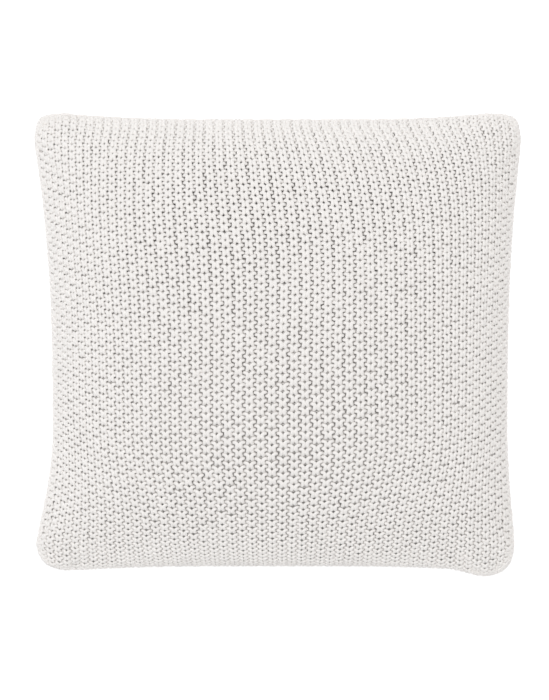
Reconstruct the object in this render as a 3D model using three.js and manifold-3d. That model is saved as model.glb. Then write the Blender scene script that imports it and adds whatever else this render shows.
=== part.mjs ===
// Throw pillow: a chunky knitted cover, closed by a coil zip in its lower edge, over a filled cotton insert.
// Millimetres, +Z up. The pillow lies on its back with the front face up and the zip edge towards -Y.
// The outer face of every soft piece comes from one family of nested, crowned, four-cornered forms.
import * as THREE from "three";
import { mergeVertices } from "three/addons/utils/BufferGeometryUtils.js";
import Module from "manifold-3d";

// ---- outline of the cover, seen from above ----
const HALF_WIDTH = 244.5; // centre to a corner along X
const HALF_HEIGHT = 231; // centre to a corner along Y
const SIDE_PULL = 17; // how far the left and right sides draw in between their corners, on average
const SIDE_LEAN = 2.5; // how much more the left side draws in, and the right side less
const SIDE_PULL_AT = -0.4; // where they draw in most, as a part of the half height
const SHORT_CORNER = 5; // how much less the lower right corner reaches out
const DROOP = 6; // and how much lower the cover hangs there; the insert stays straight
const DROOP_START = 0.7; // the droop grows between these parts of the half width
const DROOP_FULL = 0.87;
const END_PULL = 7; // how far the upper and lower sides draw in
const FLARE_END = 0.88; // the corners have flared fully here, and only round off beyond
const UPPER_POWER = 2.7; // above 2 the sides stay straight for longer and flare at the corners
const LOWER_POWER = 1.7;
const END_POWER = 4;
const CORNER_CUT_TOP = 0.027; // how much of the half diagonal the corner rounding removes
const CORNER_CUT_BOTTOM = 0.046;
const CORNER_POWER_TOP = 17;
const CORNER_POWER_BOTTOM = 12;

// ---- section through the pillow ----
const SEAM_Z = 74; // height of the seam plane over the face it rests on
const FRONT_RISE = 90; // crown of the front face over the seam plane
const BACK_DROP = 82; // depth of the unpressed back face; the floor flattens what is below it
const KNIT = 9; // thickness of the knitted fabric
const COTTON = 1.2; // thickness of the insert's fabric
const GAP = 0.3; // clearance between pieces that lie against each other
const LAYER_GAP = 1; // clearance between the nested crowned layers, whose facets differ

// ---- seam allowances: the turned-in edges of each panel ----
const COVER_ALLOWANCE = { depth: 7, thick: 3 };
const INSERT_ALLOWANCE = { depth: 6, thick: 0.5 };
const INSERT_INSET = 18.5; // insert edge, inwards from the cover edge
const OVERLOCK = 0.9; // thickness of the thread band over the raw edges of the cover
const OVERLOCK_REACH = 5.5; // how far that band covers the allowance
const INSERT_OVERLOCK = 0.5;
const INSERT_OVERLOCK_REACH = 3.5;

// ---- zip ----
const SLOT_OPEN_X = 196; // the slot between the lips has its full width up to here
const SLOT_CLOSED_X = 215; // and is closed from here
const SLOT_HALF = 5; // half the slot's width
const LIP_STEP = 0.5; // width of the panel's turned edge along the slot
const SLOT_FADE = 14; // power that fades the slot's lift away from the edge
const CHAIN_HALF = 182; // half the length of the coil chain
const TAPE_HALF = 190;
const TAPE_THICK = 0.7;
const TAPE_FACE_Y = -213.4; // outer face of the tapes
const TAPE_INNER_Z = 1; // tape edges, measured from the seam plane
const TAPE_OUTER_Z = 13;
const COIL_THICK = 2.1;
const COIL_INNER_Z = 0.7;
const COIL_OUTER_Z = 2.7;
const THREAD_R = 0.35;
const THREAD_Z = 9; // stitching line on each tape
const SLIDER_LENGTH = 12;
const SLIDER_HALF_WIDTH = 4.3;
const SLIDER_PLATE = 1.1;
const SLIDER_REST_X = 175.5;
const PULL_LENGTH = 15.5;
const PULL_HALF_WIDTH = 3;
const PULL_THICK = 1;
const BAIL_HALF_LENGTH = 3.4; // the arch that holds the pull
const BAIL_THICK = 0.9;
const BAIL_HALF_WIDTH = 0.8;
const BAIL_CLEAR = 1.5; // free height under the arch
const STOP_LENGTH = 2.5;
const LABEL = { x: -150, width: 24, high: 8, thick: 0.5 };

// ---- mesh density, as cells from the middle to an edge ----
const COVER_CELLS = 11;
const INSERT_CELLS = 8;
const FILL_CELLS = 7;

const wasm = await Module();
wasm.setup();
const pillow = new THREE.Group();
pillow.name = "throw_pillow";

const MATERIALS = {
  knit: { color: 0xeee9e3, roughness: 0.95, metalness: 0 },
  thread: { color: 0xe9e3da, roughness: 0.8, metalness: 0 },
  tape: { color: 0xe8e3da, roughness: 0.85, metalness: 0 },
  coil: { color: 0xf0ece4, roughness: 0.45, metalness: 0 },
  nickel: { color: 0xb9b7b2, roughness: 0.32, metalness: 1 },
  label: { color: 0xf4f2ee, roughness: 0.7, metalness: 0 },
  cotton: { color: 0xf3f1ec, roughness: 0.9, metalness: 0 },
  fibre: { color: 0xf8f8f6, roughness: 1, metalness: 0 },
};

function addPiece(name, geometry, material, parent = pillow) {
  const mesh = new THREE.Mesh(geometry, new THREE.MeshStandardMaterial(MATERIALS[material]));
  mesh.name = name;
  parent.add(mesh);
  return mesh;
}

// ---- the crowned form ----

// 0 where a side draws in most, 1 at both of its corners.
function flare(along, deepest, power) {
  const span = along > deepest ? FLARE_END - deepest : FLARE_END + deepest;
  return Math.min(Math.abs((along - deepest) / span), 1) ** power;
}

// Position in plan of cloth coordinates u, v (-1 to 1), for a form whose edge lies inset mm inside the cover's
// edge.
function planPoint(u, v, inset) {
  const upper = v > SIDE_PULL_AT;
  const sideFlare = flare(v, SIDE_PULL_AT, upper ? UPPER_POWER : LOWER_POWER);
  const drawn = (SIDE_PULL - SIDE_LEAN * u) * (1 - sideFlare);
  const short = upper ? 0 : SHORT_CORNER * Math.max(u, 0) * sideFlare;
  const halfWidth = HALF_WIDTH - inset - drawn - short;
  const smooth = THREE.MathUtils.smoothstep;
  const cover = Math.max(0, 1 - inset / INSERT_INSET);
  const droop = DROOP * cover * smooth(u, DROOP_START, DROOP_FULL) * smooth(-v, 0.5, 1);
  const halfHeight = HALF_HEIGHT - inset - END_PULL * (1 - flare(u, 0, END_POWER)) + droop;
  const cut = v > 0 ? CORNER_CUT_TOP : CORNER_CUT_BOTTOM;
  const power = v > 0 ? CORNER_POWER_TOP : CORNER_POWER_BOTTOM;
  const corner = 1 - cut * Math.abs(u * v) ** power;
  return [u * halfWidth * corner, v * halfHeight * corner];
}

// Part of the full crown at u, v: 1 in the middle, 0 on the seam, steep beside it.
function crown(u, v) {
  return Math.sqrt(Math.max(0, (1 - u * u) * (1 - v * v)));
}

// 1 along the zip's slot, 0 past its ends.
function slotShare(u, v) {
  const x = Math.abs(planPoint(u, v, 0)[0]);
  return v < 0 ? 1 - THREE.MathUtils.smoothstep(x, SLOT_OPEN_X, SLOT_CLOSED_X) : 0;
}

// A point of a crowned sheet. rim is how far the sheet's edge stands off the seam plane.
// side is 1 for the front and -1 for the back, whose lowest part is pressed flat at floor.
function sheetPoint(u, v, sheet, side, rim) {
  const [x, y] = planPoint(u, v, sheet.inset);
  const lift = rim + (sheet.zip ? SLOT_HALF * slotShare(u, v) * Math.abs(v) ** SLOT_FADE : 0);
  const reach = (side > 0 ? FRONT_RISE : BACK_DROP) - sheet.depth;
  const z = SEAM_Z + side * (lift + (reach - lift) * crown(u, v));
  return [x, y, Math.max(z, sheet.depth)];
}

// Cloth coordinates from edge to edge, closer together towards the edges where the form is steep.
function clothSteps(cells) {
  const steps = [];
  for (let i = -cells; i <= cells; i++) steps.push(Math.sin((Math.PI / 2) * (i / cells)));
  return steps;
}

// The u, v of every step round the edge, anticlockwise seen from above, starting at the lower left corner.
function edgeLoop(cells) {
  const steps = clothSteps(cells);
  const back = steps.slice(1).reverse();
  return [
    ...steps.slice(0, -1).map((u) => [u, -1]),
    ...steps.slice(0, -1).map((v) => [1, v]),
    ...back.map((u) => [u, 1]),
    ...back.map((v) => [-1, v]),
  ];
}

// ---- surfaces collected as triangles and welded into one closed geometry ----

function quad(corners, a, b, c, d) {
  corners.push(...a, ...b, ...c, ...a, ...c, ...d);
}

// Quads between neighbouring rows of points, where each row may close on itself.
function strips(corners, rows, closed) {
  for (let r = 0; r + 1 < rows.length; r++) {
    const count = rows[r].length;
    for (let i = 0; i < (closed ? count : count - 1); i++) {
      const next = (i + 1) % count;
      quad(corners, rows[r][i], rows[r][next], rows[r + 1][next], rows[r + 1][i]);
    }
  }
}

// Six times the volume inside the triangles; negative where they face inwards.
function signedVolume(corners) {
  const [a, b, c] = [new THREE.Vector3(), new THREE.Vector3(), new THREE.Vector3()];
  let sum = 0;
  for (let i = 0; i < corners.length; i += 9) {
    a.fromArray(corners, i);
    b.fromArray(corners, i + 3);
    c.fromArray(corners, i + 6);
    sum += a.dot(b.cross(c));
  }
  return sum;
}

function weld(corners) {
  const facing = signedVolume(corners) > 0 ? [0, 1, 2] : [0, 2, 1];
  const turned = new Float32Array(corners.length);
  for (let i = 0; i < corners.length; i += 9) {
    facing.forEach((from, to) => turned.set(corners.slice(i + 3 * from, i + 3 * from + 3), i + 3 * to));
  }
  const made = new THREE.BufferGeometry();
  made.setAttribute("position", new THREE.BufferAttribute(turned, 3));
  return mergeVertices(made, 1e-3);
}

// One panel of a cover: a crowned shell with a flat allowance turned in all round its edge.
function shellPanel(outer, inner, allowance, cells, side) {
  const steps = clothSteps(cells);
  const loop = edgeLoop(cells);
  const innerRim = GAP / 2 + allowance.thick;
  const grid = (sheet, rim) => steps.map((v) => steps.map((u) => sheetPoint(u, v, sheet, side, rim)));
  const edge = (sheet, rim) => loop.map(([u, v]) => sheetPoint(u, v, sheet, side, rim));

  // The allowance is left out along the zip, where the tape is sewn to the panel itself.
  const turnedEdge = (rim) =>
    loop.map(([u, v]) => {
      const share = outer.zip ? slotShare(u, v) : 0;
      const inset = inner.inset + allowance.depth * (1 - share) + LIP_STEP * share;
      return sheetPoint(u, v, { ...inner, inset }, side, rim);
    });

  const corners = [];
  strips(corners, grid(outer, GAP / 2), false);
  strips(corners, grid(inner, innerRim).reverse(), false);
  const rings = [edge(inner, innerRim), turnedEdge(innerRim), turnedEdge(GAP / 2), edge(outer, GAP / 2)];
  strips(corners, rings, true);
  return weld(corners);
}

// A solid that fills the crowned form between the front and the back.
function solidCushion(sheet, cells) {
  const steps = clothSteps(cells);
  const grid = (side) => steps.map((v) => steps.map((u) => sheetPoint(u, v, sheet, side, 0)));
  const corners = [];
  strips(corners, grid(1), false);
  strips(corners, grid(-1).reverse(), false);
  return weld(corners);
}

// Thread wound over the raw edges of two allowances: a C section swept along the edge, open outwards.
function overlockBand(loop, closed, edgeInset, allowance, thick, reach) {
  const pocket = GAP / 2 + allowance.thick + GAP;
  const inside = edgeInset + GAP;
  const section = [
    [inside + thick, pocket + thick],
    [inside + thick, -pocket - thick],
    [inside - reach, -pocket - thick],
    [inside - reach, -pocket],
    [inside, -pocket],
    [inside, pocket],
    [inside - reach, pocket],
    [inside - reach, pocket + thick],
  ];
  const rows = section.map(([inset, height]) =>
    loop.map(([u, v]) => [...planPoint(u, v, inset), SEAM_Z + height]),
  );
  const corners = [];
  strips(corners, [...rows, rows[0]], closed);
  if (!closed) {
    const outline = section.map(([inset, height]) => new THREE.Vector2(inset, height));
    for (const [a, b, c] of THREE.ShapeUtils.triangulateShape(outline, [])) {
      const last = loop.length - 1;
      corners.push(...rows[c][0], ...rows[b][0], ...rows[a][0]);
      corners.push(...rows[a][last], ...rows[b][last], ...rows[c][last]);
    }
  }
  return weld(corners);
}

// ---- small hard parts, joined and cut as solids ----

function toSolid(geometry) {
  const plain = new THREE.BufferGeometry();
  const loose = geometry.index ? geometry.toNonIndexed() : geometry;
  plain.setAttribute("position", loose.getAttribute("position"));
  const merged = mergeVertices(plain, 1e-4);
  const vertProperties = merged.getAttribute("position").array;
  return new wasm.Manifold(new wasm.Mesh({ numProp: 3, vertProperties, triVerts: merged.index.array }));
}

function fromSolid(solid) {
  const mesh = solid.getMesh();
  const made = new THREE.BufferGeometry();
  made.setAttribute("position", new THREE.BufferAttribute(mesh.vertProperties, 3));
  made.setIndex(new THREE.BufferAttribute(mesh.triVerts, 1));
  return made;
}

function box(x0, x1, y0, y1, z0, z1) {
  const made = new THREE.BoxGeometry(x1 - x0, y1 - y0, z1 - z0);
  return made.translate((x0 + x1) / 2, (y0 + y1) / 2, (z0 + z1) / 2);
}

// A plate in the XZ plane, cut from a drawn outline; its outer face is at y0.
function plate(outline, holes, y0, y1) {
  const shape = new THREE.Shape(outline.map(([x, z]) => new THREE.Vector2(x, z)));
  for (const hole of holes) shape.holes.push(new THREE.Path(hole.map(([x, z]) => new THREE.Vector2(x, z))));
  const made = new THREE.ExtrudeGeometry(shape, { depth: y1 - y0, bevelEnabled: false });
  return made.rotateX(Math.PI / 2).translate(0, y1, 0);
}

function union(geometries) {
  return fromSolid(geometries.map(toSolid).reduce((whole, next) => whole.add(next)));
}

// ---- cover ----

const COVER_OUTER = { inset: 0, depth: 0, zip: true };
const COVER_INNER = { inset: KNIT, depth: KNIT, zip: true };

function addCover() {
  addPiece("front_panel", shellPanel(COVER_OUTER, COVER_INNER, COVER_ALLOWANCE, COVER_CELLS, 1), "knit");
  addPiece("back_panel", shellPanel(COVER_OUTER, COVER_INNER, COVER_ALLOWANCE, COVER_CELLS, -1), "knit");

  // One overlock seam runs from one end of the zip round three sides to the other end.
  const loop = edgeLoop(COVER_CELLS);
  const sewn = loop.filter(([u, v]) => slotShare(u, v) === 0);
  const gapAt = loop.findIndex(([u, v]) => slotShare(u, v) > 0);
  const seam = [...sewn.slice(gapAt), ...sewn.slice(0, gapAt)];
  const edge = KNIT + COVER_ALLOWANCE.depth;
  const band = overlockBand(seam, false, edge, COVER_ALLOWANCE, OVERLOCK, OVERLOCK_REACH);
  addPiece("cover_seam", band, "thread");
}

// ---- insert ----

function addInsert() {
  const outer = { inset: INSERT_INSET, depth: KNIT + LAYER_GAP };
  const inner = { inset: outer.inset + COTTON, depth: outer.depth + COTTON };
  const loop = edgeLoop(INSERT_CELLS);
  const edge = inner.inset + INSERT_ALLOWANCE.depth;
  const fillInset = edge + GAP + INSERT_OVERLOCK + GAP + LAYER_GAP;
  const fill = { inset: fillInset, depth: inner.depth + LAYER_GAP };
  addPiece("insert_front", shellPanel(outer, inner, INSERT_ALLOWANCE, INSERT_CELLS, 1), "cotton");
  addPiece("insert_back", shellPanel(outer, inner, INSERT_ALLOWANCE, INSERT_CELLS, -1), "cotton");
  const band = overlockBand(loop, true, edge, INSERT_ALLOWANCE, INSERT_OVERLOCK, INSERT_OVERLOCK_REACH);
  addPiece("insert_seam", band, "thread");
  addPiece("insert_filling", solidCushion(fill, FILL_CELLS), "fibre");
}

// ---- zip, drawn about the seam plane in a group that stands at its height ----

const zip = new THREE.Group();
zip.name = "zip";
zip.position.set(0, TAPE_FACE_Y, SEAM_Z);
pillow.add(zip);
const COIL_FACE = -GAP - COIL_THICK; // outer face of the coils; tape faces are at 0 and TAPE_THICK
const SLIDER_OUTER = COIL_FACE - GAP; // under side of the slider's outer plate
const SLIDER_INNER = TAPE_THICK + GAP;
const BAIL_TOP = SLIDER_OUTER - SLIDER_PLATE - BAIL_CLEAR - BAIL_THICK;
const PIVOT_Y = SLIDER_OUTER - SLIDER_PLATE - BAIL_CLEAR / 2; // the pull's cross bar, half way up the arch

// The tape, coil, stitching and top stop of one side; side is 1 for the front panel and -1 for the back.
function addZipHalf(word, side) {
  const band = (x, y0, y1, near, far) => {
    const [low, high] = side > 0 ? [near, far] : [-far, -near];
    return box(-x, x, y0, y1, low, high);
  };
  addPiece(`zip_tape_${word}`, band(TAPE_HALF, 0, TAPE_THICK, TAPE_INNER_Z, TAPE_OUTER_Z), "tape", zip);
  addPiece(`zip_coil_${word}`, band(CHAIN_HALF, COIL_FACE, -GAP, COIL_INNER_Z, COIL_OUTER_Z), "coil", zip);
  const thread = new THREE.CylinderGeometry(THREAD_R, THREAD_R, 2 * TAPE_HALF - 4, 6);
  thread.rotateZ(Math.PI / 2).translate(0, TAPE_THICK + GAP + THREAD_R, side * THREAD_Z);
  addPiece(`zip_stitching_${word}`, thread, "thread", zip);
  const stop = band(STOP_LENGTH / 2, COIL_FACE - 0.4, -GAP, COIL_INNER_Z, COIL_OUTER_Z + 0.6);
  const topStop = addPiece(`zip_top_stop_${word}`, stop, "nickel", zip);
  topStop.position.x = CHAIN_HALF + GAP + STOP_LENGTH / 2;
}

// A clamp across both coils that holds the chain together at its lower end.
function addBottomStop() {
  const half = COIL_OUTER_Z + 0.6;
  const stop = box(-STOP_LENGTH / 2, STOP_LENGTH / 2, COIL_FACE - 0.4, -GAP, -half, half);
  const mesh = addPiece("zip_bottom_stop", stop, "nickel", zip);
  mesh.position.x = -(CHAIN_HALF + GAP + STOP_LENGTH / 2);
}

// Two plates round the chain, joined by a thin post, with turned-in sides that leave a slot for each tape.
function addSlider() {
  const half = SLIDER_LENGTH / 2;
  const wide = SLIDER_HALF_WIDTH;
  const outline = [
    [-half, -wide * 0.72],
    [-half + 2.5, -wide],
    [half - 1.5, -wide],
    [half, -wide * 0.8],
    [half, wide * 0.8],
    [half - 1.5, wide],
    [-half + 2.5, wide],
    [-half, wide * 0.72],
  ];
  const outerTop = SLIDER_OUTER - SLIDER_PLATE;
  const sideInner = wide - 0.9;
  const solids = [
    plate(outline, [], outerTop, SLIDER_OUTER),
    plate(outline, [], SLIDER_INNER, SLIDER_INNER + SLIDER_PLATE),
    box(half - 4, half - 0.5, SLIDER_OUTER - 0.2, SLIDER_INNER + 0.2, -0.4, 0.4),
    box(-half + 2.5, half - 1.5, SLIDER_OUTER - 0.2, -GAP, sideInner, wide),
    box(-half + 2.5, half - 1.5, SLIDER_OUTER - 0.2, -GAP, -wide, -sideInner),
  ];
  const reach = BAIL_HALF_LENGTH;
  const foot = outerTop + 0.2;
  solids.push(box(-reach, reach, BAIL_TOP, BAIL_TOP + BAIL_THICK, -BAIL_HALF_WIDTH, BAIL_HALF_WIDTH));
  solids.push(box(-reach, -reach + 0.9, BAIL_TOP, foot, -BAIL_HALF_WIDTH, BAIL_HALF_WIDTH));
  solids.push(box(reach - 0.9, reach, BAIL_TOP, foot, -BAIL_HALF_WIDTH, BAIL_HALF_WIDTH));
  const slider = addPiece("zip_slider", union(solids), "nickel", zip);
  slider.position.x = SLIDER_REST_X;
}

// A flat tab whose cross bar is held under the slider's arch; it lies towards -X over the closed chain.
function addPull() {
  const bar = PULL_THICK / 2;
  const wide = PULL_HALF_WIDTH;
  const eyeEnd = BAIL_HALF_LENGTH + 1.2;
  const eyeHalf = BAIL_HALF_WIDTH + 0.6;
  const outline = [
    [bar, -wide * 0.75],
    [bar, wide * 0.75],
    [-eyeEnd, wide * 0.75],
    [-PULL_LENGTH + 5, wide],
    [-PULL_LENGTH + 1, wide],
    [-PULL_LENGTH, wide * 0.6],
    [-PULL_LENGTH, -wide * 0.6],
    [-PULL_LENGTH + 1, -wide],
    [-PULL_LENGTH + 5, -wide],
    [-eyeEnd, -wide * 0.75],
  ];
  const eye = [
    [-bar, -eyeHalf],
    [-eyeEnd, -eyeHalf],
    [-eyeEnd, eyeHalf],
    [-bar, eyeHalf],
  ];
  const pull = addPiece("zip_pull", plate(outline, [eye], -bar, bar), "nickel", zip);
  pull.position.set(SLIDER_REST_X, PIVOT_Y, 0);
}

// A small blank label sewn in behind the back tape.
function addLabel() {
  const low = -THREAD_Z - LABEL.high / 2;
  const y0 = TAPE_THICK + 2 * GAP + 2 * THREAD_R;
  const x0 = LABEL.x - LABEL.width / 2;
  const label = box(x0, x0 + LABEL.width, y0, y0 + LABEL.thick, low, low + LABEL.high);
  addPiece("care_label", label, "label", zip);
}

addCover();
addInsert();
addZipHalf("front", 1);
addZipHalf("back", -1);
addBottomStop();
addSlider();
addPull();
addLabel();

export default pillow;
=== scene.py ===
import math

import bmesh
import bpy
import numpy as np
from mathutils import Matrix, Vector


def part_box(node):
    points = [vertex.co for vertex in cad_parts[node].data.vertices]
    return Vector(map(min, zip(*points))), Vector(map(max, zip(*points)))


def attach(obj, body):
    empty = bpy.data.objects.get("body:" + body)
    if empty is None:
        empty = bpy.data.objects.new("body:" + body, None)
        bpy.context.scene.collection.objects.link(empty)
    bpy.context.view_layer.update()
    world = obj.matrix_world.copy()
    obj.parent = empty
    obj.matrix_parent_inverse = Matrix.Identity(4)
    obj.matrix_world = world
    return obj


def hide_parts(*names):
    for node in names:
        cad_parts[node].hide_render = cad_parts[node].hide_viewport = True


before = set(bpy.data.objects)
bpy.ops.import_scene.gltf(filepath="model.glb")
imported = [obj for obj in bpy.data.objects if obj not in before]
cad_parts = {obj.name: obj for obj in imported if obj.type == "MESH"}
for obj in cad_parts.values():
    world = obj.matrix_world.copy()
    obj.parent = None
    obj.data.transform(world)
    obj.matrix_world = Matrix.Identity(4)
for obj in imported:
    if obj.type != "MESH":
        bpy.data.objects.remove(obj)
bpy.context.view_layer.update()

MM = 0.001
SEED = 20
rng = np.random.default_rng(SEED)

# ---- the pillow's form ----
HALF_WIDTH = 244.5  # centre to a corner along X
HALF_HEIGHT = 230.5  # 0.5 less than in the CAD source
SIDE_PULL = 17  # how far the sides draw in between their corners, on average
SIDE_LEAN = 2.5  # how much more the left side draws in, and the right side less
SIDE_PULL_AT = -0.4  # where they draw in most, as a part of the half height
SHORT_CORNER = 5  # how much less the lower right corner reaches out
DROOP = 6  # and how much lower the cover hangs there; the insert stays straight
DROOP_ACROSS = (0.7, 0.87)  # the droop grows between these parts of the half width
DROOP_DOWN = (0.5, 1)  # and between these of the half height
END_PULL = 7  # how far the upper and lower sides draw in
FLARE_END = 0.88  # the corners have flared fully here, and only round off beyond
UPPER_POWER = 2.7  # above 2 the sides stay straight for longer and flare at the corners
LOWER_POWER = 1.7
END_POWER = 4
CORNER_CUT_TOP = 0.027  # how much of the half diagonal the corner rounding removes
CORNER_CUT_BOTTOM = 0.046
CORNER_POWER_TOP = 17
CORNER_POWER_BOTTOM = 12
SEAM_Z = 74  # height of the seam plane over the face it rests on
FRONT_RISE = 90  # crown of the front face over the seam plane
BACK_DROP = 82  # depth of the unpressed back face: the floor flattens what is below it
SLOT_OPEN_X = 190  # the slot between the lips has its full width up to here
SLOT_CLOSED_X = 202  # and is closed from here
SEWN_FROM_X = 208  # the overlocking stops here on both sides of the zip
SLOT_HALF = 5  # half the slot's width
SLOT_FADE = 14  # power that fades the slot's lift away from the edge

# ---- the insert and its filling, inwards from the cover's edge and its outer face ----
INSERT_INSET = 18.5
INSERT_DEPTH = 10
INSERT_WALL = 1.2
FILLING_INSET = 28
FILLING_DEPTH = 14
FILLING_CELLS = 48
LUMP = 1.6  # how far the filling's surface goes in and out

# ---- the zip, in offsets from the outer face of its tapes and from the seam plane ----
TAPE_FACE_Y = -213.4
TAPE_HALF = 203  # half its length
TAPE_THICK = 0.7
TAPE_INNER_Z = 1
TAPE_OUTER_Z = 13
TAPE_POINTS = 13  # across the tape
TAPE_STEPS = 97  # and along it
TAPE_EDGE = 0.4  # how thick its edges are, as a part of the rest
CHAIN_HALF = 182
HARD_EDGE = 0.12  # width of the bevel on metal edges
LABEL_THICK = 0.2
LABEL_FOLD_POINTS = 7
LABEL_STEPS = 13

# Threads and wires that wind: the turn's half sizes in Y and Z, the pitch and the thread's radius.
COIL_TURNS = dict(y=-1.35, z=1.6, depth=0.75, width=0.8, pitch=1.35, radius=0.3)
STITCHES = dict(y=1.1, z=9, depth=0.25, width=0, pitch=3.2, radius=0.3)
STITCH_HALF = 186
RINGS_PER_TURN = 10
WIRE_SIDES = 6
OVERLOCK_SIDES = 5
EDGE_POINTS = 4000  # round the edge, to measure its length
SPOKE_WAY = (0.31, 0.17, 0.94)  # the first ring of a tube is turned to this; no tube starts along it

# Overlocking: where its middle lies inwards from the seam, the turn's half sizes, the pitch and the radius.
COVER_OVERLOCK = dict(inset=12.5, wide=4.3, high=4.2, pitch=4.5, radius=0.45)
INSERT_OVERLOCK = dict(inset=24.8, wide=2, high=1.2, pitch=3.5, radius=0.25)

# ---- the knit ----
COLUMNS = 54  # columns of loops from side seam to side seam
ROWS = 64  # rows of loops from end seam to end seam
TURNED = 2  # this many of them at each seam lie evenly over the turn into it
ADDED = 2  # and this many in all are on top of those that the lie below is for
COLUMN_WIDTH = 11.4  # of the stitch drawn below, which is stretched to fit
ROW_HEIGHT = 8.2
COLUMN_SPREAD = 1.125  # radians of arc over which the columns crowd towards the sides
ROW_MIDDLE = 0.044  # the row at the middle height, from -1 to 1: the lower rows crowd more than the upper
ROW_CROWDING = (0.073, 0.172)  # at the upper and the lower end
ROW_POWER = (4.5, 4)
EVEN_POWER = 4  # the crowding of the columns fades out towards the top, and of the rows towards the sides
EVEN_FROM = 0.4  # the crowding of the columns fades out towards the bottom from here
SIDE_EVEN = 0.5  # the share of the rows' crowding that fades out towards the sides
TOP_SHEAR = 0.066  # how far the columns lean over to the left by the top, as a part of the half width
SHEAR_POWER = 2.5
ROW_TILT = 0.036  # how far the rows rise to the right
LEFT_GATHER = 0.13  # how far the rows draw together towards the middle of the left side
GATHER_POWER = 5
YARN_TOP = 3.2  # how far the stitch's highest point stands over its own zero height
FOLD = 1.6  # radius at which the cloth turns in at a seam
YARN_DEPTH = 9.6  # the deepest yarn under the outer face
FOLDED_DEPTH = 3.0  # and where the cloth is turned in
SOFT_STOP = 0.8  # the yarn eases over this height onto the plane that it can't pass
YARN_REST = 0.85  # how near the yarn's middle comes to the slot or the seam plane, in yarn radii
LIP_ROWS = 2  # rows turned in along the zip
LIP_REACH = 0.87  # how far towards the sides they reach
PLUMPNESS = 0.7  # how far the yarn thins where the stitch is narrower: 0 not at all, 1 as much
WANDER = 1.1  # how far columns and rows wander from their lines
WAVES = 7  # this many waves add up to the wandering
WAVE_RATES = (2, 9)  # radians from the middle of the cloth to its seam
WAVE_SHARES = (0.5, 1)  # how unequal they are
WAVE_SUM = 1.8  # what their heights add up to
LOOP_JITTER = 0.22  # how far each loop is out of its place
JITTER_UP = 0.6  # the share of it that moves a loop up or down
THICK_JITTER = 0.025
WANDER_FADE = 8  # the wandering ends at the seams, over the half size divided by this
SCALE_LIMITS = (0.7, 1.08)  # of the stitch's size, against the size drawn below
YARN_SIDES = 6
BANDS = 6  # each face's yarns make this many pieces

# Half of one loop: x, y, height and yarn radius, from the foot behind the fabric, up the leg and over the
# shoulder to the head behind the next row.
HALF_LOOP = [
    (5.7, -0.6, -4.2, 1.5),
    (3.7, -0.9, -3.4, 1.5),
    (3.0, 0.0, -1.6, 1.65),
    (2.4, 1.2, 0.3, 1.95),
    (1.7, 2.8, 1.0, 2.12),
    (1.65, 4.4, 1.2, 2.1),
    (2.4, 5.7, 1.3, 1.85),
    (3.7, 6.4, 1.1, 1.7),
    (5.2, 6.5, 0.2, 1.65),
    (5.7, 6.6, -1.8, 1.5),
    (4.2, 7.5, -3.3, 1.5),
    (1.8, 8.8, -4.0, 1.5),
]
# Where the rings stand along the half loop, closer together where it shows.
RINGS_AT = (0, 2, 2.8, 3.6, 4.4, 5.1, 5.7, 6.3, 6.9, 7.5, 8.1, 8.7, 9.6)
YARN_WIDE = 1.12  # the yarn is pressed a little flat along the cloth
YARN_HIGH = 0.85

# ---- the settling of the stuffed form ----
FORM_CELLS = 64
SLIM = 0.965  # the share of the crown it starts from
PRESSURE = 4
SETTLING_FRAMES = 20
MOST_MOVED = 9  # millimetres that settling may move the form

# ---- light ----
WORLD = ((0.985, 0.992, 1, 1), 0.505)
LAMPS = {  # place in metres, size, power and colour
    "key": ((-3.6, 0.6, 4.2), 2.6, 71, (0.97, 0.983, 1)),
    "fill": ((3.6, 0.6, 4.2), 2.6, 36, (1, 0.985, 0.97)),
    "overhead": ((0, 0.9, 5.4), 2.2, 85, (1, 0.978, 0.955)),
}
FLOOR_GLOW = 0.35
FLOOR_HALF = 6000
FLOOR_Z = -0.5  # just under the pillow's flat patch

# ---- camera: straight above, long lens, the picture's up is +Y ----
VIEW_TALL = 700  # millimetres at the seam plane, along the picture's longer side
CAMERA_UP = 3000  # over the seam plane
AIM = (-3, -7.5)  # the place in the middle of the picture
SENSOR = 36
CLIP_END = 20  # metres

camera = bpy.data.objects.new("camera", bpy.data.cameras.new("camera"))
bpy.context.scene.collection.objects.link(camera)
camera.location = (AIM[0] * MM, AIM[1] * MM, (SEAM_Z + CAMERA_UP) * MM)
camera.data.sensor_width = SENSOR
camera.data.lens = SENSOR * CAMERA_UP / VIEW_TALL
camera.data.clip_end = CLIP_END
bpy.context.scene.camera = camera
bpy.context.scene.view_settings.view_transform = "Standard"


# ---- meshes ----

def add_mesh(name, points, faces, material, corner_uv=None):
    """An object from an array of points in millimetres and an array of faces with equally many corners."""
    mesh = bpy.data.meshes.new(name)
    faces = np.asarray(faces, np.int32)
    corners = faces.shape[1]
    mesh.vertices.add(len(points))
    mesh.vertices.foreach_set("co", (np.asarray(points, np.float32) * MM).ravel())
    mesh.loops.add(faces.size)
    mesh.loops.foreach_set("vertex_index", faces.ravel())
    mesh.polygons.add(len(faces))
    mesh.polygons.foreach_set("loop_start", np.arange(0, faces.size, corners, dtype=np.int32))
    mesh.update(calc_edges=True)
    if corner_uv is not None:
        layer = mesh.uv_layers.new(name="thread")
        layer.data.foreach_set("uv", np.asarray(corner_uv, np.float32).ravel())
    mesh.polygons.foreach_set("use_smooth", np.full(len(faces), True))
    if material is not None:
        mesh.materials.append(material)
    piece = bpy.data.objects.new(name, mesh)
    bpy.context.scene.collection.objects.link(piece)
    return piece


def unit(vectors):
    return vectors / np.maximum(np.linalg.norm(vectors, axis=-1, keepdims=True), 1e-9)


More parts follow.
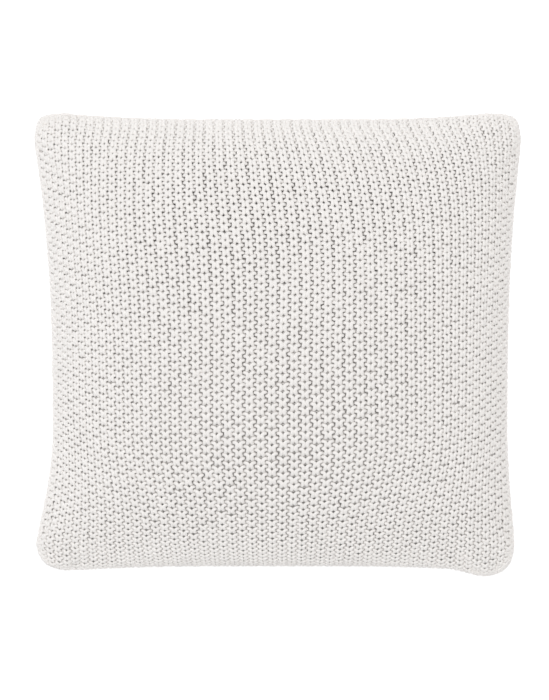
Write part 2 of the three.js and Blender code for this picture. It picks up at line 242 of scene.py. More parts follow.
def ring_faces(count, rings, sides):
    """The quads between the neighbouring rings of tubes whose points stand ring by ring."""
    ring = (np.arange(count)[:, None, None] * rings + np.arange(rings - 1)[None, :, None]) * sides
    here = np.arange(sides)
    after = (here + 1) % sides
    return np.stack([ring + here, ring + after, ring + sides + after, ring + sides + here], axis=-1)


def tubes(paths, radii, sides, flat=None):
    """Points, faces and corner coordinates of tubes, one for each row of paths (count, rings, 3).
    flat holds the directions that each ring is pressed along, if it isn't round.
    The corner coordinates are millimetres along the tube and turns round it."""
    count, rings, _ = paths.shape
    ahead = np.empty_like(paths)
    ahead[:, 1:-1] = paths[:, 2:] - paths[:, :-2]
    ahead[:, 0] = paths[:, 1] - paths[:, 0]
    ahead[:, -1] = paths[:, -1] - paths[:, -2]
    ahead = unit(ahead)
    across = np.empty_like(paths)
    start = np.cross(ahead[:, 0], np.array(SPOKE_WAY))
    for i in range(rings):
        last = start if i == 0 else across[:, i - 1]
        across[:, i] = unit(last - ahead[:, i] * np.sum(last * ahead[:, i], axis=-1, keepdims=True))
    other = np.cross(ahead, across)
    turn = np.arange(sides) * (2 * math.pi / sides)
    spoke = across[:, :, None] * np.cos(turn)[:, None] + other[:, :, None] * np.sin(turn)[:, None]
    if flat is not None:
        press = np.sum(spoke * flat[:, :, None], axis=-1, keepdims=True) * flat[:, :, None]
        spoke = spoke * YARN_WIDE - press * (YARN_WIDE - YARN_HIGH)
    points = paths[:, :, None] + spoke * radii[:, :, None, None]

    here = np.arange(sides)
    faces = ring_faces(count, rings, sides)
    step = np.linalg.norm(np.diff(paths, axis=1), axis=-1)
    along = np.concatenate([np.zeros((count, 1)), np.cumsum(step, axis=1)], axis=1)
    uv = np.empty((count, rings - 1, sides, 4, 2))
    uv[..., [0, 1], 0] = along[:, :-1, None, None]
    uv[..., [2, 3], 0] = along[:, 1:, None, None]
    uv[..., [0, 3], 1] = (here / sides)[:, None]
    uv[..., [1, 2], 1] = ((here + 1) / sides)[:, None]
    return points.reshape(-1, 3), faces.reshape(-1, 4), uv.reshape(-1, 2)


def close_ends(points, faces, uv, count, rings, sides):
    """Adds a cap to both ends of every tube, as quads round a middle point."""
    middles, caps = [], []
    for tube in range(count):
        for ring, order in ((0, 1), (rings - 1, -1)):
            rim = (tube * rings + ring) * sides + np.arange(sides)[::-order]
            middle = len(points) + len(middles)
            middles.append(points[rim].mean(axis=0))
            for i in range(0, sides, 2):
                caps.append((middle, rim[i], rim[(i + 1) % sides], rim[(i + 2) % sides]))
    points = np.concatenate([points, middles])
    faces = np.concatenate([faces, caps])
    uv = np.concatenate([uv, np.zeros((4 * len(caps), 2))])
    return points, faces, uv


def add_tubes(name, paths, radii, sides, material, flat=None):
    points, faces, uv = tubes(paths, radii, sides, flat)
    points, faces, uv = close_ends(points, faces, uv, paths.shape[0], paths.shape[1], sides)
    return add_mesh(name, points, faces, material, uv)


def add_strip(name, line, thick, x_low, x_high, steps, material):
    """A thin closed strip along X, whose (y, z) cross-section is a line with a thickness at each point."""
    line, thick = np.array(line, float), np.array(thick, float)
    ahead = unit(np.gradient(line, axis=0))
    off = np.stack([-ahead[:, 1], ahead[:, 0]], axis=1) * thick[:, None] / 2
    section = np.concatenate([line + off, (line - off)[::-1]])
    sides = len(section)
    x = np.linspace(x_low, x_high, steps)
    points = np.empty((steps, sides, 3))
    points[..., 0] = x[:, None]
    points[..., 1:] = section
    faces = ring_faces(1, steps, sides).reshape(-1, 4)
    ends = np.array([(i, sides - 1 - i, sides - 2 - i, i + 1) for i in range(sides // 2 - 1)])
    far = ends[:, ::-1] + (steps - 1) * sides
    return add_mesh(name, points.reshape(-1, 3), np.concatenate([faces, ends, far]), material)


def put(piece, body, slot, *nodes):
    """The piece moves with the body and stands for the CAD nodes, which it hides; the slot is not used."""
    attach(piece, body)
    if nodes:
        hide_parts(*nodes)
    return piece


# ---- the crowned form ----

def smoothstep(x, low, high):
    t = np.clip((x - low) / (high - low), 0, 1)
    return t * t * (3 - 2 * t)


def flare(along, deepest, power):
    """0 where a side draws in most, 1 at its corners."""
    span = np.where(along > deepest, FLARE_END - deepest, FLARE_END + deepest)
    return np.minimum(np.abs((along - deepest) / span), 1) ** power


def plan_point(u, v, inset):
    upper = v > SIDE_PULL_AT
    side_flare = flare(v, SIDE_PULL_AT, np.where(upper, UPPER_POWER, LOWER_POWER))
    half_width = HALF_WIDTH - inset - (SIDE_PULL - SIDE_LEAN * u) * (1 - side_flare)
    half_width = half_width - np.where(upper, 0, SHORT_CORNER * np.maximum(u, 0) * side_flare)
    half_height = HALF_HEIGHT - inset - END_PULL * (1 - flare(u, 0, END_POWER))
    cover = max(0, 1 - inset / INSERT_INSET)
    half_height = half_height + DROOP * cover * smoothstep(u, *DROOP_ACROSS) * smoothstep(-v, *DROOP_DOWN)
    cut = np.where(v > 0, CORNER_CUT_TOP, CORNER_CUT_BOTTOM)
    power = np.where(v > 0, CORNER_POWER_TOP, CORNER_POWER_BOTTOM)
    corner = 1 - cut * np.abs(u * v) ** power
    return u * half_width * corner, v * half_height * corner


def slot_share(u, v):
    x = np.abs(plan_point(u, v, 0)[0])
    return np.where(v < 0, 1 - smoothstep(x, SLOT_OPEN_X, SLOT_CLOSED_X), 0)


def form_point(a, b, side, inset=0, depth=0, rim=0, zip_slot=True, crown=1):
    """A point of the crowned form at angles a, b, which run from -90 to 90 degrees between the seams."""
    u, v = np.sin(a), np.sin(b)
    x, y = plan_point(u, v, inset)
    lift = rim + (SLOT_HALF * slot_share(u, v) * np.abs(v) ** SLOT_FADE if zip_slot else 0)
    reach = (FRONT_RISE if side > 0 else BACK_DROP) * crown - depth
    z = SEAM_Z + side * (lift + (reach - lift) * np.cos(a) * np.cos(b))
    return np.stack([x, y, np.maximum(z, depth)], axis=-1)


# ---- cloth simulation: the stuffed form swells from a slimmer start ----

def grid_faces(rows, columns):
    corner = np.arange(rows - 1)[:, None] * columns + np.arange(columns - 1)
    return np.stack([corner, corner + 1, corner + columns + 1, corner + columns], axis=-1).reshape(-1, 4)


def closed_bag(front_points, back_points):
    """One closed mesh from two square grids that meet at their edges. Returns its points and faces, the index
    of each grid's points, and where the seam is in them."""
    size = len(front_points)
    seam = np.zeros((size, size), bool)
    seam[[0, -1]] = seam[:, [0, -1]] = True
    front = np.arange(size * size).reshape(size, size)
    back = front.copy()
    back[~seam] = size * size + np.arange((~seam).sum())
    points = np.concatenate([front_points.reshape(-1, 3), back_points[~seam]])
    quads = grid_faces(size, size)
    faces = np.concatenate([quads, back.ravel()[quads][:, ::-1]])
    return points, faces, front, back, seam


def settled_shift():
    """How the settled cushion differs from the crowned form, for each side, on a grid of angles."""
    steps = np.linspace(-math.pi / 2, math.pi / 2, FORM_CELLS + 1)
    b, a = np.meshgrid(steps, steps, indexing="ij")
    full = {side: form_point(a, b, side, zip_slot=False) for side in (1, -1)}
    slim = {side: form_point(a, b, side, zip_slot=False, crown=SLIM) for side in (1, -1)}
    points, faces, front, back, seam = closed_bag(slim[1], slim[-1])
    bag = add_mesh("stuffed_form", points, faces, None)
    pins = bag.vertex_groups.new(name="seam")
    pins.add([int(i) for i in front[seam]], 1.0, "REPLACE")
    cloth = bag.modifiers.new("settle", "CLOTH")
    cloth.settings.quality = 6
    cloth.settings.mass = 0.4
    cloth.settings.tension_stiffness = 18
    cloth.settings.compression_stiffness = 18
    cloth.settings.bending_stiffness = 0.6
    cloth.settings.use_pressure = True
    cloth.settings.uniform_pressure_force = PRESSURE
    cloth.settings.effector_weights.gravity = 0
    cloth.settings.vertex_group_mass = "seam"
    cloth.collision_settings.use_collision = False
    scene = bpy.context.scene
    for number in range(1, SETTLING_FRAMES + 1):
        scene.frame_set(number)
        bag.evaluated_get(bpy.context.evaluated_depsgraph_get())
    shape = bag.evaluated_get(bpy.context.evaluated_depsgraph_get()).to_mesh()
    moved = np.empty(len(points) * 3, np.float32)
    shape.vertices.foreach_get("co", moved)
    moved = moved.reshape(-1, 3) / MM
    scene.frame_set(1)
    bpy.data.objects.remove(bag)
    shifts = {}
    for side, index in ((1, front), (-1, back)):
        shift = moved[index] - full[side]
        length = np.linalg.norm(shift, axis=-1, keepdims=True)
        shifts[side] = shift * np.minimum(1, MOST_MOVED / np.maximum(length, 1e-6))
    return shifts


SHIFT = settled_shift()


def shift_at(a, b, side):
    """The settled shift at any angles, between the grid's own."""
    at = [np.clip((angle / math.pi + 0.5) * FORM_CELLS, 0, FORM_CELLS - 1e-6) for angle in (b, a)]
    low = [np.floor(x).astype(int) for x in at]
    part = [(x - f)[..., None] for x, f in zip(at, low)]
    field = SHIFT[side]
    near = field[low[0], low[1]] * (1 - part[1]) + field[low[0], low[1] + 1] * part[1]
    far = field[low[0] + 1, low[1]] * (1 - part[1]) + field[low[0] + 1, low[1] + 1] * part[1]
    return near * (1 - part[0]) + far * part[0]


def settled_point(a, b, side, **form):
    point = form_point(a, b, side, **form) + shift_at(a, b, side)
    point[..., 2] = np.maximum(point[..., 2], form.get("depth", 0))
    return point


# ---- the cover's cloth, from cloth coordinates s, t (-1 to 1 between the seams) to space ----

def plan_angles(s, t):
    """The angles of the cloth where it faces up: how the columns and rows lean, crowd and gather."""
    s = s - TOP_SHEAR * np.maximum(t, 0) ** SHEAR_POWER * (1 - s**4)
    t = t + ROW_TILT * s * (1 - np.abs(t) ** 3)
    wide = np.sin(s * COLUMN_SPREAD) / math.sin(COLUMN_SPREAD)
    upper = t > ROW_MIDDLE
    part = (t - ROW_MIDDLE) / np.where(upper, 1 - ROW_MIDDLE, 1 + ROW_MIDDLE)
    crowding, power = (np.where(upper, *pair) for pair in (ROW_CROWDING, ROW_POWER))
    high = part * (1 + crowding - crowding * np.abs(part) ** power)
    even = np.where(upper, np.abs(high) ** EVEN_POWER, smoothstep(-high, EVEN_FROM, 1))
    u = wide + (s - wide) * even
    v = high + (t - high) * SIDE_EVEN * np.abs(wide) ** EVEN_POWER
    v = v - LEFT_GATHER * v * (1 - v * v) * np.maximum(-wide, 0) ** GATHER_POWER
    return np.arcsin(np.clip(u, -1, 1)), np.arcsin(np.clip(v, -1, 1))


def cover_angles(s, t):
    """The angles a, b of a place in the cloth. Beside a seam its last columns and rows are spread evenly over
    the steep turn into it, where they aren't seen from above."""
    angles = []
    inner = [1 - 2 * TURNED / count for count in (COLUMNS, ROWS)]
    within = [np.clip(at, -edge, edge) for at, edge in zip((s, t), inner)]
    seen = plan_angles(within[0] * COLUMNS / (COLUMNS - ADDED), within[1] * ROWS / (ROWS - ADDED))
    for at, held, edge, angle in zip((s, t), within, inner, seen):
        turned = np.abs(at - held) / (1 - edge)
        angles.append(angle + (np.sign(at) * math.pi / 2 - angle) * turned)
    return angles


def cover_face(s, t, side):
    a, b = cover_angles(np.clip(s, -1, 1), np.clip(t, -1, 1))
    return settled_point(a, b, side, rim=FOLD), a, b


def cover_normal(a, b, side):
    """The crowned form's normal. It ignores the settling, which is too uneven at the corners."""
    reach, edge = 0.02, math.pi / 2
    a, b = (np.clip(angle, reach - edge, edge - reach) for angle in (a, b))

    def between(da, db):
        return form_point(a + da, b + db, side, rim=FOLD) - form_point(a - da, b - db, side, rim=FOLD)
    return unit(side * np.cross(between(reach, 0), between(0, reach)))


def on_cover(s, t, height, radius, side):
    """Points at a height over the cover's outer face. Past a seam the cloth turns in round a fold."""
    point, a, b = cover_face(s, t, side)
    normal = cover_normal(a, b, side)
    u, v = np.sin(a), np.sin(b)
    share = slot_share(u, v)
    edge_row = 2 * HALF_HEIGHT / ROWS
    lip_row = (np.abs(plan_point(u, v, 0)[1]) + TAPE_FACE_Y - FOLD + FOLD * math.pi / 2) / LIP_ROWS
    row = edge_row + (lip_row - edge_row) * share
    past_s = np.maximum(np.abs(s) - 1, 0) * HALF_WIDTH
    past_t = np.maximum(np.abs(t) - 1, 0) * ROWS / 2 * row
    past = np.hypot(past_s, past_t)[..., None]
    bend = np.minimum(past / FOLD, math.pi / 2)
    down = np.array([0, 0, -side])
    turned = unit(np.cos(bend) * normal + np.sin(bend) * down)
    outward = unit(normal * np.array([1, 1, 0]))
    straight = np.maximum(past - FOLD * math.pi / 2, 0)
    folded = point + FOLD * (turned - normal) - straight * outward
    deepest = FOLDED_DEPTH + (YARN_DEPTH - FOLDED_DEPTH) * (1 - smoothstep(past, 0, 2 * FOLD))
    place = folded + turned * np.maximum(height[..., None], -deepest)
    least = SLOT_HALF * share * np.abs(v) ** SLOT_FADE + YARN_REST * radius
    over = side * (place[..., 2] - SEAM_Z) - least
    off_seam = least + (over + np.hypot(over, SOFT_STOP)) / 2
    place[..., 2] = np.maximum(SEAM_Z + side * off_seam, radius * YARN_HIGH)
    return place, turned


# ---- yarn ----

def spline(knots, at):
    """A Catmull-Rom curve through the knots, at the given places along them."""
    last = len(knots) - 1
    i = np.clip(np.floor(at).astype(int), 0, last - 1)
    t = (at - i)[:, None]
    p0, p1, p2, p3 = (knots[np.clip(i + k, 0, last)] for k in (-1, 0, 1, 2))
    square, cube = 2 * p0 - 5 * p1 + 4 * p2 - p3, 3 * p1 - p0 - 3 * p2 + p3
    return 0.5 * (2 * p1 + (p2 - p0) * t + square * t**2 + cube * t**3)


def loop_rings():
    """The rings of one whole loop: left leg up, behind the next row, right leg down."""
    right = np.array(HALF_LOOP, float)
    left = right * np.array([-1, 1, 1, 1])
    knots = np.concatenate([left, right[::-1]])
    places = np.array(RINGS_AT, float)
    return spline(knots, np.concatenate([places, len(knots) - 1 - places[::-1]]))


LOOP = loop_rings()


def wander_field():
    """A smooth wandering over the cloth, from a few seeded waves, between about -1 and 1."""
    waves = rng.uniform(*WAVE_RATES, (WAVES, 2)) * rng.choice([-1, 1], (WAVES, 2))
    phase = rng.uniform(0, 2 * math.pi, WAVES)
    share = rng.uniform(*WAVE_SHARES, WAVES)
    share = share / share.sum() * WAVE_SUM
    return lambda s, t: sum(k * np.sin(w[0] * s + w[1] * t + p) for w, p, k in zip(waves, phase, share))


def course(columns, row, offset, side, wander):
    """One yarn: the path and radii that knit the given columns in one row."""
    columns = np.asarray(columns, float)
    count = len(columns)
    jitter = rng.normal(0, LOOP_JITTER, (count, 3))
    thick = 1 + rng.normal(0, THICK_JITTER, count)
    x = LOOP[:, 0] + columns[:, None] * COLUMN_WIDTH + jitter[:, [0]]
    y = LOOP[:, 1] + (row + offset) * ROW_HEIGHT + jitter[:, [1]]
    height = np.broadcast_to(LOOP[:, 2] - YARN_TOP, x.shape) + jitter[:, [2]] * JITTER_UP
    s = ((x / COLUMN_WIDTH + 0.5) / COLUMNS * 2 - 1).ravel()
    t = (y / ROW_HEIGHT / ROWS * 2 - 1).ravel()
    inside = np.clip((1 - np.abs(s)) * WANDER_FADE, 0, 1) * np.clip((1 - np.abs(t)) * WANDER_FADE, 0, 1)
    shift_s = WANDER * wander[0](s, t) * inside / HALF_WIDTH
    shift_t = WANDER * wander[1](s, t) * inside / HALF_HEIGHT
    s, t = s + shift_s, t + shift_t
    squeeze = stitch_scale(s, t, side)
    radius = (LOOP[:, 3] * thick[:, None]).ravel() * squeeze**PLUMPNESS
    path, out = on_cover(s, t, height.ravel() * squeeze**PLUMPNESS, radius, side)
    return path, radius, out


def stitch_scale(s, t, side):
    """How much smaller than drawn the stitch is here, from the room the cloth gives it."""
    ds, dt = 1 / COLUMNS, 1 / ROWS
    s, t = np.clip(s, ds - 1, 1 - ds), np.clip(t, dt - 1, 1 - dt)
    wide = np.linalg.norm(cover_face(s + ds, t, side)[0] - cover_face(s - ds, t, side)[0], axis=-1)
    high = np.linalg.norm(cover_face(s, t + dt, side)[0] - cover_face(s, t - dt, side)[0], axis=-1)
    return np.clip(np.sqrt(wide / COLUMN_WIDTH * high / ROW_HEIGHT), *SCALE_LIMITS)


def add_cover(word, side, material):
    wander = [wander_field(), wander_field()]
    yarns = []
    for row in range(-1, ROWS + 1):
        for offset, first in ((0, 0), (0.5, -1)):
            yarns.append(course(range(first, COLUMNS + 1, 2), row, offset, side, wander))
    pieces = []
    for band in range(BANDS):
        part = yarns[band * len(yarns) // BANDS : (band + 1) * len(yarns) // BANDS]
        paths, radii, out = (np.stack(x) for x in zip(*part))
        piece = add_tubes(f"cover_{word}_{band + 1}", paths, radii, YARN_SIDES, material, out)
        pieces.append(put(piece, "pillow", "knit", f"{word}_panel"))
    # The row at -1 is the lip's first, and belongs to the face's own yarns.
    lip = []
    open_columns = [k for k in range(COLUMNS) if abs((k + 0.5) / COLUMNS * 2 - 1) < LIP_REACH]
    for row in range(2, LIP_ROWS + 1):
        for offset, first in ((0, 0), (0.5, 1)):
            lip.append(course([k for k in open_columns if k % 2 == first], -row, offset, side, wander))
    paths, radii, out = (np.stack(x) for x in zip(*lip))
    piece = add_tubes(f"cover_{word}_lip", paths, radii, YARN_SIDES, material, out)
    pieces.append(put(piece, "pillow", "knit", f"{word}_panel"))
    return pieces


# ---- materials ----

PLIES = 3  # strands twisted into one yarn
PLY_LAY = 4.2  # millimetres over which they turn once
WAVE_BANDS = 3.2  # bands in a metre that the wave texture draws at a scale of 1


def node_material(name, colour, roughness, **values):
    """A Principled material with plain values on its sockets. Returns it, its node tree and its shader."""
    material = bpy.data.materials.new(name)
    material.use_nodes = True
    nodes = material.node_tree.nodes
    shader = nodes["Principled BSDF"]
    shader.inputs["Base Color"].default_value = (*colour, 1)
    shader.inputs["Roughness"].default_value = roughness
    for socket, value in values.items():
        shader.inputs[socket.replace("_", " ")].default_value = value
    return material, material.node_tree, shader


def add_node(tree, kind, links=(), **values):
    """A node with its properties or input values set, and its inputs linked from other sockets."""
    node = tree.nodes.new(kind)
    for key, value in values.items():
        if hasattr(node, key):
            setattr(node, key, value)
        else:
            node.inputs[key.replace("_", " ")].default_value = value
    for name, source in dict(links).items():
        tree.links.new(source, node.inputs[name])
    return node


def mix_colours(tree, factor, low, high):
    node = add_node(tree, "ShaderNodeMix", data_type="RGBA")
    tree.links.new(factor, node.inputs[0])
    node.inputs[6].default_value = (*low, 1)
    node.inputs[7].default_value = (*high, 1)
    return node.outputs[2]


def yarn_material(name, light, dark):
    """Plied wool-like yarn: three strands twisted together, fine fibres and a slight change of tone."""
    material, tree, shader = node_material(name, light, 0.92, Sheen_Weight=0.15, Sheen_Roughness=0.6)
    place = add_node(tree, "ShaderNodeTexCoord").outputs["Object"]
    thread = add_node(tree, "ShaderNodeUVMap", uv_map="thread").outputs["UV"]
    parts = add_node(tree, "ShaderNodeSeparateXYZ", {"Vector": thread})
    lay = add_node(tree, "ShaderNodeMath", {0: parts.outputs["X"]}, operation="MULTIPLY")
    lay.inputs[1].default_value = 2 * math.pi / PLY_LAY
    turned = {0: parts.outputs["Y"], 2: lay.outputs[0]}
    turn = add_node(tree, "ShaderNodeMath", turned, operation="MULTIPLY_ADD")
    turn.inputs[1].default_value = 2 * math.pi * PLIES
    ply = add_node(tree, "ShaderNodeMath", {0: turn.outputs[0]}, operation="SINE")
    tone = add_node(tree, "ShaderNodeTexNoise", {"Vector": place}, Scale=60, Detail=2)
    tree.links.new(mix_colours(tree, tone.outputs["Fac"], dark, light), shader.inputs["Base Color"])
    fibre = add_node(tree, "ShaderNodeTexNoise", {"Vector": place}, Scale=1800, Detail=2)
    first = add_node(tree, "ShaderNodeBump", {"Height": ply.outputs[0]}, Strength=0.35, Distance=0.00022)
    second = add_node(
        tree, "ShaderNodeBump", {"Height": fibre.outputs["Fac"], "Normal": first.outputs[0]}, Strength=0.4,
        Distance=0.0003,
    )
    tree.links.new(second.outputs[0], shader.inputs["Normal"])
    return material


def woven_material(name, light, dark, threads_per_metre, roughness=0.9, axes=("X", "Y")):
    """Plain-woven cloth: crossing threads in the bump and a slight change of tone."""
    material, tree, shader = node_material(name, light, roughness, Sheen_Weight=0.15)
    place = add_node(tree, "ShaderNodeTexCoord").outputs["Object"]
    heights = []
    for axis in axes:
        wave = add_node(
            tree, "ShaderNodeTexWave", {"Vector": place}, bands_direction=axis,
            Scale=threads_per_metre / WAVE_BANDS, Distortion=0.4,
        )
        heights.append(wave.outputs["Fac"])
    weave = add_node(tree, "ShaderNodeMath", {0: heights[0], 1: heights[1]}, operation="MAXIMUM")
    tone = add_node(tree, "ShaderNodeTexNoise", {"Vector": place}, Scale=40, Detail=3)
    tree.links.new(mix_colours(tree, tone.outputs["Fac"], dark, light), shader.inputs["Base Color"])
    bump = add_node(tree, "ShaderNodeBump", {"Height": weave.outputs[0]}, Strength=0.4, Distance=0.0003)
    tree.links.new(bump.outputs[0], shader.inputs["Normal"])
    return material


def fibre_material(name, light, dark):
    """Loose polyester filling: soft tufts in the bump and a slight change of tone."""
    material, tree, shader = node_material(name, light, 1.0, Sheen_Weight=0.3)
    place = add_node(tree, "ShaderNodeTexCoord").outputs["Object"]
    tone = add_node(tree, "ShaderNodeTexNoise", {"Vector": place}, Scale=45, Detail=5)
    tree.links.new(mix_colours(tree, tone.outputs["Fac"], dark, light), shader.inputs["Base Color"])
    strands = add_node(tree, "ShaderNodeTexNoise", {"Vector": place}, Scale=420, Detail=4, Distortion=1.5)
    bump = add_node(tree, "ShaderNodeBump", {"Height": strands.outputs["Fac"]}, Strength=0.6, Distance=0.0015)
    tree.links.new(bump.outputs[0], shader.inputs["Normal"])
    return material


def hard_material(name, colour, low, high, grain, **values):
    """Metal or moulded nylon: uneven gloss and a fine grain from handling."""
    material, tree, shader = node_material(name, colour, low, **values)
    place = add_node(tree, "ShaderNodeTexCoord").outputs["Object"]
    wear = add_node(tree, "ShaderNodeTexNoise", {"Vector": place}, Scale=300, Detail=4)
    gloss = add_node(tree, "ShaderNodeMapRange", {"Value": wear.outputs["Fac"]})
    gloss.inputs["To Min"].default_value = low
    gloss.inputs["To Max"].default_value = high
    tree.links.new(gloss.outputs["Result"], shader.inputs["Roughness"])
    fine = add_node(tree, "ShaderNodeTexNoise", {"Vector": place}, Scale=grain, Detail=3)
    bump = add_node(tree, "ShaderNodeBump", {"Height": fine.outputs["Fac"]}, Strength=0.15, Distance=0.00005)
    tree.links.new(bump.outputs[0], shader.inputs["Normal"])
    return material


KNIT = yarn_material("knit", (0.93, 0.906, 0.886), (0.88, 0.854, 0.832))
THREAD = yarn_material("thread", (0.88, 0.86, 0.83), (0.80, 0.78, 0.75))
COTTON = woven_material("cotton", (0.86, 0.84, 0.80), (0.80, 0.78, 0.74), 1500)
TAPE = woven_material("tape", (0.88, 0.86, 0.83), (0.82, 0.80, 0.77), 1800, axes=("X", "Z"))
LABEL = woven_material("label", (0.93, 0.93, 0.92), (0.88, 0.88, 0.87), 4000, roughness=0.5, axes=("X", "Z"))
FIBRE = fibre_material("fibre", (0.95, 0.95, 0.94), (0.88, 0.88, 0.88))
COIL = hard_material("coil", (0.86, 0.845, 0.82), 0.3, 0.5, 2500)
NICKEL = hard_material("nickel", (0.5, 0.49, 0.47), 0.24, 0.42, 6000, Metallic=1.0)


# ---- insert ----

def add_insert():
    steps = np.linspace(-math.pi / 2, math.pi / 2, FORM_CELLS + 1)
    b, a = np.meshgrid(steps, steps, indexing="ij")
    for word, side in (("front", 1), ("back", -1)):
        points = settled_point(a, b, side, inset=INSERT_INSET, depth=INSERT_DEPTH, zip_slot=False)
        faces = grid_faces(FORM_CELLS + 1, FORM_CELLS + 1)
        if side < 0:
            faces = faces[:, ::-1]
        piece = add_mesh(f"insert_cloth_{word}", points.reshape(-1, 3), faces, COTTON)
        wall = piece.modifiers.new("wall", "SOLIDIFY")
        wall.thickness = INSERT_WALL * MM
        wall.offset = -1
        put(piece, "pillow", "cotton", f"insert_{word}")


def add_filling():
    """The stuffing: one closed cushion, a little lumpy, inside the insert."""
    steps = np.linspace(-math.pi / 2, math.pi / 2, FILLING_CELLS + 1)
    b, a = np.meshgrid(steps, steps, indexing="ij")
    lumps = wander_field()(a, b) * LUMP
    faces_at = [
        settled_point(a, b, side, inset=FILLING_INSET, depth=FILLING_DEPTH + lumps, zip_slot=False)
        for side in (1, -1)
    ]
    points, faces = closed_bag(*faces_at)[:2]
    piece = put(add_mesh("filling", points, faces, FIBRE), "pillow", "fibre", "insert_filling")


# ---- overlocked seams: a thread wound round the turned-in edges, where no zip is ----

def edge_angles(count):
    """Plan coordinates u, v evenly round the pillow's edge, from the lower right corner anticlockwise."""
    along = np.linspace(0, 4, count, endpoint=False)
    side, part = np.floor(along).astype(int), 2 * (along % 1) - 1
    u = np.choose(side, [np.ones(count), -part, -np.ones(count), part])
    v = np.choose(side, [part, np.ones(count), -part, -np.ones(count)])
    return u, v


def add_overlock(name, node, inset, wide, high, pitch, radius, whole):
    """A thread wound round an edge that lies inset from the seam. Unless whole, it stops beside the zip."""
    u, v = edge_angles(EDGE_POINTS)
    if whole:
        u, v = np.append(u, u[:1]), np.append(v, v[:1])
    else:
        sewn = (v > -1) | (np.abs(plan_point(u, v, 0)[0]) > SEWN_FROM_X)
        start = EDGE_POINTS - np.argmin(sewn[::-1])
        u, v = (np.roll(x, -start)[: sewn.sum()] for x in (u, v))
    x, y = plan_point(u, v, inset)
    length = np.concatenate([[0], np.cumsum(np.hypot(np.diff(x), np.diff(y)))])
    at = np.arange(0, length[-1], pitch / RINGS_PER_TURN)
    centre = np.stack([np.interp(at, length, x), np.interp(at, length, y)], axis=1)
    ahead = unit(np.gradient(centre, axis=0))
    inward = np.stack([-ahead[:, 1], ahead[:, 0]], axis=1)
    turn = at * (2 * math.pi / pitch)
    path = np.empty((1, len(at), 3))
    path[0, :, :2] = centre + inward * (wide * np.cos(turn))[:, None]
    path[0, :, 2] = SEAM_Z + high * np.sin(turn)
    thread = add_tubes(name, path, np.full((1, len(at)), radius), OVERLOCK_SIDES, THREAD)
    put(thread, "pillow", "thread", node)


# ---- the zip in the lower edge, in offsets from the outer face of its tapes ----

def add_zip_thread(name, node, side, half_length, material, slot, y, z, depth, width, pitch, radius):
    """A thread or wire that winds along X: depth and width are its turn's half sizes in Y and Z."""
    rings = int(2 * half_length / pitch) * RINGS_PER_TURN
    at = np.linspace(0, 2 * half_length, rings)
    turn = at * (2 * math.pi / pitch)
    path = np.empty((1, rings, 3))
    path[0, :, 0] = at - half_length
    path[0, :, 1] = TAPE_FACE_Y + y + depth * np.cos(turn)
    path[0, :, 2] = SEAM_Z + side * z + width * np.sin(turn)
    put(add_tubes(name, path, np.full((1, rings), radius), WIRE_SIDES, material), "pillow", slot, node)


def add_zip():
    across = np.linspace(TAPE_INNER_Z, TAPE_OUTER_Z, TAPE_POINTS)
    thick = np.full(TAPE_POINTS, TAPE_THICK)
    thick[[0, -1]] = TAPE_EDGE * TAPE_THICK
    for word, side in (("front", 1), ("back", -1)):
        line = [(TAPE_FACE_Y + TAPE_THICK / 2, SEAM_Z + side * z) for z in across[::side]]
        tape = add_strip(f"tape_{word}", line, thick, -TAPE_HALF, TAPE_HALF, TAPE_STEPS, TAPE)
        put(tape, "pillow", "tape", f"zip_tape_{word}")
        add_zip_thread(f"coil_{word}", f"zip_coil_{word}", side, CHAIN_HALF, COIL, "coil", **COIL_TURNS)
        add_zip_thread(
            f"stitches_{word}", f"zip_stitching_{word}", side, STITCH_HALF, THREAD, "thread", **STITCHES,
        )


def round_edges(node, body):
    """A copy of a hard CAD node with its flat faces whole and its edges rounded."""
    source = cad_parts[node]
    mesh = source.data.copy()
    mesh.name = node + "_rounded"
    mesh.materials.clear()
    mesh.materials.append(NICKEL)
    shape = bmesh.new()
    shape.from_mesh(mesh)
    bmesh.ops.remove_doubles(shape, verts=shape.verts, dist=0.01 * MM)
    bmesh.ops.dissolve_limit(shape, angle_limit=math.radians(2), verts=shape.verts, edges=shape.edges)
    for face in shape.faces:
        face.smooth = True
    shape.to_mesh(mesh)
    shape.free()
    piece = bpy.data.objects.new(node + "_rounded", mesh)
    bpy.context.scene.collection.objects.link(piece)
    bevel = piece.modifiers.new("edges", "BEVEL")
    bevel.width = HARD_EDGE * MM
    bevel.segments = 2
    bevel.angle_limit = math.radians(25)
    bevel.harden_normals = True
    put(piece, body, "nickel", node)


def add_hardware():
    for node in ("zip_top_stop_front", "zip_top_stop_back", "zip_bottom_stop"):
        round_edges(node, "pillow")
    round_edges("zip_slider", "slider")
    round_edges("zip_pull", "pull")


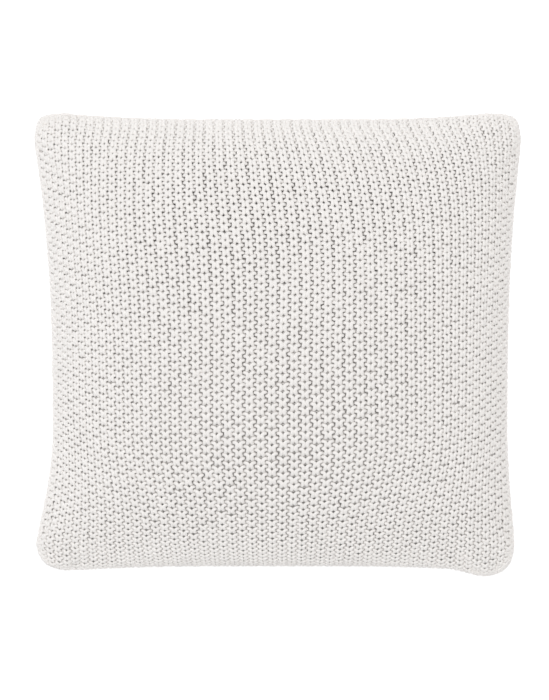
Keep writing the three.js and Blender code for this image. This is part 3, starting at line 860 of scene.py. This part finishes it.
def add_label():
    """A blank woven label, folded once, behind the lower tape."""
    x_low, y_low, z_low = (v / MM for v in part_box("care_label")[0])
    x_high, y_high, z_high = (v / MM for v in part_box("care_label")[1])
    near, far = y_low + LABEL_THICK / 2, y_high - LABEL_THICK / 2
    bend = (far - near) / 2
    turn = np.linspace(math.pi, 0, LABEL_FOLD_POINTS)
    fold = [(near + bend + bend * math.cos(t), z_high - bend + bend * math.sin(t)) for t in turn]
    line = [(near, z_low), (near, (z_low + z_high) / 2), *fold, (far, (z_low + z_high) / 2), (far, z_low)]
    thick = np.full(len(line), LABEL_THICK)
    label = add_strip("woven_label", line, thick, x_low, x_high, LABEL_STEPS, LABEL)
    put(label, "pillow", "label", "care_label")


# ---- light and floor ----

def add_area(name, place, size, power, colour):
    lamp = bpy.data.lights.new(name, "AREA")
    lamp.size = size
    lamp.energy = power
    lamp.color = colour
    holder = bpy.data.objects.new(name, lamp)
    bpy.context.scene.collection.objects.link(holder)
    holder.location = place
    holder.rotation_euler = (Vector((0, 0, SEAM_Z * MM)) - Vector(place)).to_track_quat("-Z", "Y").to_euler()


def add_studio():
    for name, values in LAMPS.items():
        add_area(name, *values)
    world = bpy.data.worlds.new("studio")
    bpy.context.scene.world = world
    world.use_nodes = True
    background = world.node_tree.nodes["Background"]
    background.inputs["Color"].default_value, background.inputs["Strength"].default_value = WORLD
    material, _, shader = node_material("floor", (0.95, 0.95, 0.95), 0.9)
    shader.inputs["Emission Color"].default_value = (1, 1, 1, 1)
    shader.inputs["Emission Strength"].default_value = FLOOR_GLOW
    turns = ((-1, -1), (1, -1), (1, 1), (-1, 1))
    corners = [(x * FLOOR_HALF, y * FLOOR_HALF, FLOOR_Z) for x, y in turns]
    add_mesh("floor", corners, [[0, 1, 2, 3]], material)


for word, side in (("front", 1), ("back", -1)):
    for piece in add_cover(word, side, KNIT):
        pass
add_insert()
add_filling()
add_overlock("cover_overlock", "cover_seam", **COVER_OVERLOCK, whole=False)
add_overlock("insert_overlock", "insert_seam", **INSERT_OVERLOCK, whole=True)
add_zip()
add_hardware()
add_label()
add_studio()
